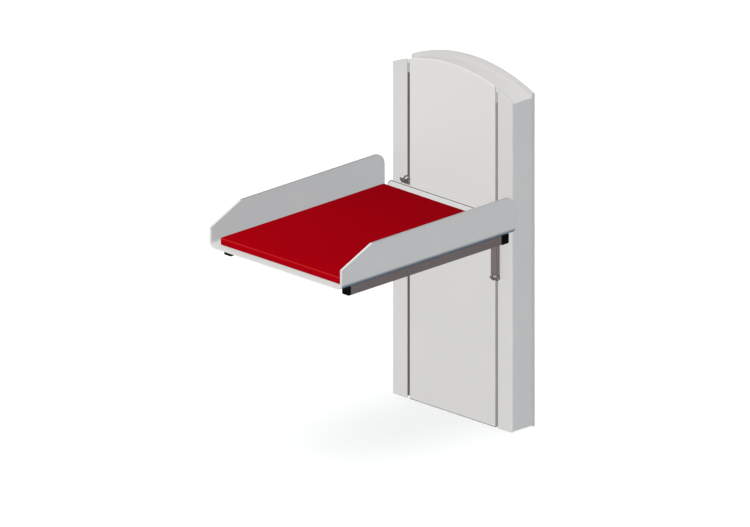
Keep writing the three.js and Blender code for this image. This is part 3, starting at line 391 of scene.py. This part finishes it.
# White tray sheet, with painted shade lines along the rear upstand and along the guards, painted
# shade greying the tops of the guards, and a painted cool shade under the side bends
def white_tray():
    material, tree, shader, place = start_material("tray_white")
    colour = uneven_surface(tree, shader, place, (WHITE, WHITE_SHADED), **TRAY)
    low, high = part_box("tray")
    x, y, z = parts(tree, place)
    facing = surface_normal(tree)
    sideways = without_sign(tree, facing["X"])

    corner = (
        high.x - UPSTAND_INSET - UPSTAND_CORNER_RADIUS,
        low.z + UPSTAND_HEIGHT - UPSTAND_CORNER_RADIUS,
    )
    # Painted shade: a dark line along the upstand's top edge and round corners, on its front face
    line = rim_line(tree, without_sign(tree, x), z, corner, UPSTAND_CORNER_RADIUS, UPSTAND_LINE)
    at_face = is_near(tree, y, high.y - GUARD_OVERHANG - TRAY_SHEET, FACE_TOLERANCE)
    forward = is_below(tree, facing["Y"], -SQUARE_ON)
    colour = mix(tree, all_hold(tree, line, at_face, forward), colour, SHADE_LINE_DARK)

    # Painted shade: a fine grey line along the rear and top edges of the guards' sides
    corner = (high.y - GUARD_REAR_RADIUS, high.z - GUARD_REAR_RADIUS)
    line = rim_line(tree, y, z, corner, GUARD_REAR_RADIUS, GUARD_LINE_WIDTH)
    on_side = is_above(tree, sideways, SQUARE_ON)
    colour = mix(tree, all_hold(tree, line, on_side), colour, GUARD_LINE)

    # Painted shade: the upward faces of the guards greyer
    on_guard = is_above(tree, z, low.z + GUARD_EDGE_FOOT)
    upwards = is_above(tree, facing["Z"], SQUARE_ON)
    colour = mix(tree, all_hold(tree, on_guard, upwards), colour, GUARD_EDGE)

    under = spread(tree, facing["Z"], UNDERSIDE, (1.0, 0.0))
    on_bend = is_above(tree, sideways, JUST_TURNED)
    colour = mix(tree, all_hold(tree, under, on_bend), colour, BEND_BLUE)
    feed(tree, colour, shader.inputs["Base Color"])
    feed(tree, TRAY_IOR, shader.inputs["IOR"])
    return material


# Taupe arms, with painted light on their sides and painted shade on their upright edges, and dark
# knuckles with painted highlights where they look up; the pins of both arms are level
def arm_coat():
    material, tree, shader, place = start_material("arm_steel")
    colour = uneven_surface(tree, shader, place, (TAUPE, TAUPE_DARK), **POWDER_COAT)
    facing = surface_normal(tree)
    sideways = without_sign(tree, facing["X"])
    # Painted shade on the upright edges, painted light on the sides
    colour = mix(tree, is_above(tree, sideways, TURNED), colour, TAUPE_EDGE_SHADE)
    colour = mix(tree, is_above(tree, sideways, SQUARE_ON), colour, TAUPE_SIDE_LIT)
    # Painted highlights where the knuckles look up
    upwards = is_above(tree, facing["Z"], MOSTLY_TURNED)
    knuckle = mix(tree, upwards, KNUCKLE_DARK, KNUCKLE_GLINT)
    height = parts(tree, place)["Z"]
    for pin in ("arm_pin_lower_left", "arm_pin_upper_left"):
        low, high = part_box(pin)
        at_pin = is_near(tree, height, (low.z + high.z) / 2, KNUCKLE_REACH)
        colour = mix(tree, at_pin, colour, knuckle)
    feed(tree, colour, shader.inputs["Base Color"])
    return material


# Red vinyl with a fine leather grain, painted shade towards the rear, painted light along its front edge
def red_vinyl():
    material, tree, shader, place = start_material("red_vinyl")
    low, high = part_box("mat")
    at = parts(tree, place)
    clouds = noise(tree, place, VINYL_CLOUD, CLOUD_DETAIL)
    cloud_shade = spread(tree, clouds, CLOUD_RANGE, (0.0, CLOUD_SHADE))
    # Painted shade deepening the red towards the rear
    rear_shade = spread(tree, at["Y"], (low.y, high.y), (0.0, REAR_SHADE))
    colour = mix(tree, calculate(tree, "ADD", rear_shade, cloud_shade), RED, RED_DEEP)
    grain = cells(tree, place, VINYL_GRAIN)
    creases = spread(tree, grain, CREASE_RANGE, (0.0, CREASE_SHADE))
    colour = mix(tree, creases, colour, RED_DEEP)
    # Painted light: a lighter red on the front face, with a painted highlight along its top edge
    at_front = is_below(tree, at["Y"], low.y + MAT_EDGE_LINE)
    at_top = is_above(tree, at["Z"], high.z - MAT_CROWN - MAT_SWELL - MAT_EDGE_LINE)
    colour = mix(tree, at_front, colour, mix(tree, at_top, RED_FACE_LIT, RED_EDGE_HIGHLIGHT))
    feed(tree, colour, shader.inputs["Base Color"])
    feed(tree, spread(tree, grain, GRAIN_RANGE, VINYL_ROUGHNESS), shader.inputs["Roughness"])
    raise_surface(tree, shader, calculate(tree, "SUBTRACT", 1.0, grain), GRAIN_DEPTH, GRAIN_STRENGTH)
    feed(tree, VINYL_IOR, shader.inputs["IOR"])
    return material


# Share of the way across a grid, from -1 at its first line to 1 at its last
def span(index, count):
    return 2 * index / count - 1


# Place of a grid point of the mat, counted from its middle, at a given inset from its outline
def mat_place(half, u, v, inset):
    a = half.x - inset
    b = half.y - inset
    radius = max(MAT_CORNER_RADIUS - inset, MAT_LEAST_RADIUS)
    x = abs(u) * a
    y = abs(v) * b
    over = Vector((max(x - a + radius, 0), max(y - b + radius, 0)))
    if over.length > radius:
        x -= over.x * (1 - radius / over.length)
        y -= over.y * (1 - radius / over.length)
    x *= 1 - MAT_DRAW_IN * (1 - v * v) / a
    y *= 1 - MAT_DRAW_IN * (1 - u * u) / b
    return math.copysign(x, u), math.copysign(y, v)


# The mat as a closed grid: flat below, drawn-in sides, a round upper edge and a low crown
def make_mat():
    low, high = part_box("mat")
    middle = (low + high) / 2
    half = (high - low) / 2
    columns = round(2 * half.x / MAT_CELL)
    rows = round(2 * half.y / MAT_CELL)
    foot = low.z
    top = high.z - MAT_SWELL - MAT_CROWN
    grid = [(i, j) for i in range(columns + 1) for j in range(rows + 1)]
    rim = [(i, 0) for i in range(columns)] + [(columns, j) for j in range(rows)]
    rim += [(columns - i, rows) for i in range(columns)] + [(0, rows - j) for j in range(rows)]

    mesh = bmesh.new()

    def vertex(i, j, inset, z):
        x, y = mat_place(half, span(i, columns), span(j, rows), inset)
        return mesh.verts.new((middle.x + x, middle.y + y, z))

    def crown(i, j):
        u = span(i, columns)
        v = span(j, rows)
        return MAT_CROWN * (1 - u * u) * (1 - v * v)

    below = {(i, j): vertex(i, j, MAT_FOOT_RADIUS, foot) for i, j in grid}
    above = {(i, j): vertex(i, j, MAT_EDGE_RADIUS, top + crown(i, j)) for i, j in grid}
    rings = [[below[place] for place in rim]]
    rings.append([vertex(i, j, 0, foot + MAT_FOOT_RADIUS) for i, j in rim])
    rings.append([vertex(i, j, 0, (foot + top) / 2) for i, j in rim])
    for angle in MAT_EDGE_ANGLES:
        inset = MAT_EDGE_RADIUS * (1 - math.cos(math.radians(angle)))
        drop = MAT_EDGE_RADIUS * (1 - math.sin(math.radians(angle)))
        rings.append([vertex(i, j, inset, top - drop) for i, j in rim])
    rings.append([above[place] for place in rim])
    for lower, upper in zip(rings, rings[1:]):
        for k in range(len(rim)):
            n = (k + 1) % len(rim)
            mesh.faces.new((lower[k], lower[n], upper[n], upper[k]))
    for i in range(columns):
        for j in range(rows):
            corners = [(i, j), (i + 1, j), (i + 1, j + 1), (i, j + 1)]
            mesh.faces.new([above[place] for place in corners])
            mesh.faces.new([below[place] for place in reversed(corners)])

    data = bpy.data.meshes.new("mat_cover")
    mesh.to_mesh(data)
    mesh.free()
    cover = bpy.data.objects.new("mat_cover", data)
    scene.collection.objects.link(cover)
    for polygon in data.polygons:
        polygon.use_smooth = True
    return cover


# Swells the mat under pressure with its underside held flat, and keeps the result
def swell(cover, foot):
    data = cover.data
    start = [point.co.copy() for point in data.vertices]
    held = cover.vertex_groups.new(name="underside")
    underside = [point.index for point in data.vertices if point.co.z < foot + MAT_HELD_HEIGHT]
    held.add(underside, 1.0, "REPLACE")
    cloth = cover.modifiers.new("swell", "CLOTH")
    cloth.settings.vertex_group_mass = held.name
    cloth.settings.use_pressure = True
    cloth.settings.uniform_pressure_force = SWELL_PRESSURE
    cloth.settings.effector_weights.gravity = 0.0
    cloth.point_cache.frame_end = SWELL_FRAMES
    for step in range(1, SWELL_FRAMES + 1):
        scene.frame_set(step)
    shaped = cover.evaluated_get(bpy.context.evaluated_depsgraph_get()).to_mesh()
    ends = [point.co.copy() for point in shaped.vertices]
    cover.modifiers.remove(cloth)
    scene.frame_set(1)
    for point, origin, end in zip(data.vertices, start, ends):
        move = end - origin
        if move.length > MAT_SWELL:
            move *= MAT_SWELL / move.length
        point.co = origin + move


def soften(piece):
    subdivision = piece.modifiers.new("soften", "SUBSURF")
    subdivision.levels = 1
    subdivision.render_levels = 1


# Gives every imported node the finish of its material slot, apart from those with one of their own
def dress_nodes():
    finishes = {
        "casing_white": plain_finish("casing_white", (WHITE, WHITE_SHADED), CASING),
        "tray_white": white_tray(),
        "taupe_steel": plain_finish("taupe_steel", (TAUPE, TAUPE_DARK), POWDER_COAT),
        "bright_steel": plain_finish("bright_steel", (STEEL, STEEL_DULL), PLATING, Metallic=1.0),
        "red_vinyl": red_vinyl(),
    }
    plastics = {
        "black_plastic": (BLACK, BLACK_WORN),
        "grey_plastic": (GREY, GREY_WORN),
        "bearing_plastic": (IVORY, IVORY_SHADED),
    }
    for name, colours in plastics.items():
        finishes[name] = plain_finish(name, colours, MOULDING, IOR=PLASTIC_IOR)
    for subpart in frame["record"]["subparts"]:
        nodes[subpart["node"]].material_slots[0].material = finishes[subpart["material_slot"]]

    cover_white = plain_finish("cover_white", (PANEL_WHITE, PANEL_WHITE_SHADED), CASING)
    # A paler copy of the taupe for the frame flanges: painted light where they are seen in shade through
    # the slots
    frame_steel_lit = plain_finish("frame_steel_lit", (FRAME_TAUPE, FRAME_TAUPE_DARK), POWDER_COAT)
    own_finishes = [
        (white_plate(), ["back_plate"]),
        (white_panel(), ["centre_panel"]),
        (white_strip(), ["front_strip_left", "front_strip_right"]),
        (cover_white, ["top_cover"]),
        (frame_steel_lit, ["frame_flange_left", "frame_flange_right"]),
        (arm_coat(), ["arm_left", "arm_right"]),
    ]
    for finish, names in own_finishes:
        for name in names:
            nodes[name].material_slots[0].material = finish
    return finishes


# A wide floor with a faint glow of its own, which takes the object's shadow but doesn't light the object
def make_floor(height):
    data = bpy.data.meshes.new("floor")
    reach = FLOOR_SIZE / 2
    corners = [(-reach, -reach), (reach, -reach), (reach, reach), (-reach, reach)]
    data.from_pydata([(x, y, height) for x, y in corners], [], [(0, 1, 2, 3)])
    floor = bpy.data.objects.new("floor", data)
    scene.collection.objects.link(floor)
    material = bpy.data.materials.new("floor")
    material.use_nodes = True
    shader = material.node_tree.nodes["Principled BSDF"]
    shader.inputs["Base Color"].default_value = FLOOR_COLOUR
    shader.inputs["Specular IOR Level"].default_value = 0.0
    shader.inputs["Emission Color"].default_value = FLOOR_COLOUR
    shader.inputs["Emission Strength"].default_value = FLOOR_GLOW
    data.materials.append(material)
    floor.visible_diffuse = False
    return floor


# Direction from the object towards an azimuth and elevation in radians
def direction(azimuth, elevation):
    level = math.cos(elevation)
    return Vector((level * math.sin(azimuth), -level * math.cos(azimuth), math.sin(elevation)))


# Adds a lamp or camera to the scene, on the given side of a place that it looks at
def aim(name, data, place, back):
    eye = bpy.data.objects.new(name, data)
    eye.location = place + VIEW_DISTANCE * back
    eye.rotation_mode = "QUATERNION"
    eye.rotation_quaternion = (-back).to_track_quat("-Z", "Y")
    scene.collection.objects.link(eye)
    return eye


def make_sun(name, azimuth, elevation, strength, angle, colour):
    light = bpy.data.lights.new(name, "SUN")
    light.energy = strength
    light.angle = math.radians(angle)
    light.color = colour
    return aim(name, light, Vector(), direction(math.radians(azimuth), math.radians(elevation)))


def make_lights(floor):
    world = bpy.data.worlds.new("studio")
    world.use_nodes = True
    sky = world.node_tree.nodes["Background"]
    sky.inputs["Color"].default_value = SKY_COLOUR
    sky.inputs["Strength"].default_value = SKY_STRENGTH
    scene.world = world
    for name, values in LIGHTS.items():
        lamp = make_sun(name, *values)
        lamp.data.use_shadow = False
        lamp.visible_glossy = name in HIGHLIGHTS
    lit = bpy.data.collections.new("floor_only")
    lit.objects.link(floor)
    make_sun("floor_light", *FLOOR_LIGHT).light_linking.receiver_collection = lit


def make_camera():
    data = bpy.data.cameras.new("camera")
    data.type = "ORTHO"
    data.ortho_scale = IMAGE_WIDTH / PIXELS_PER_METRE
    scene.camera = aim("camera", data, VIEW_AIM, direction(VIEW_AZIMUTH, VIEW_ELEVATION))


scene.view_settings.view_transform = "Standard"
scene.cycles.diffuse_bounces = 0
make_camera()
make_lights(make_floor(cad_box[0].z))
finishes = dress_nodes()

mat_cover = make_mat()
swell(mat_cover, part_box("mat")[0].z)
soften(mat_cover)
mat_cover.data.materials.append(finishes["red_vinyl"])
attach(mat_cover, "lift")
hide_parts("mat")
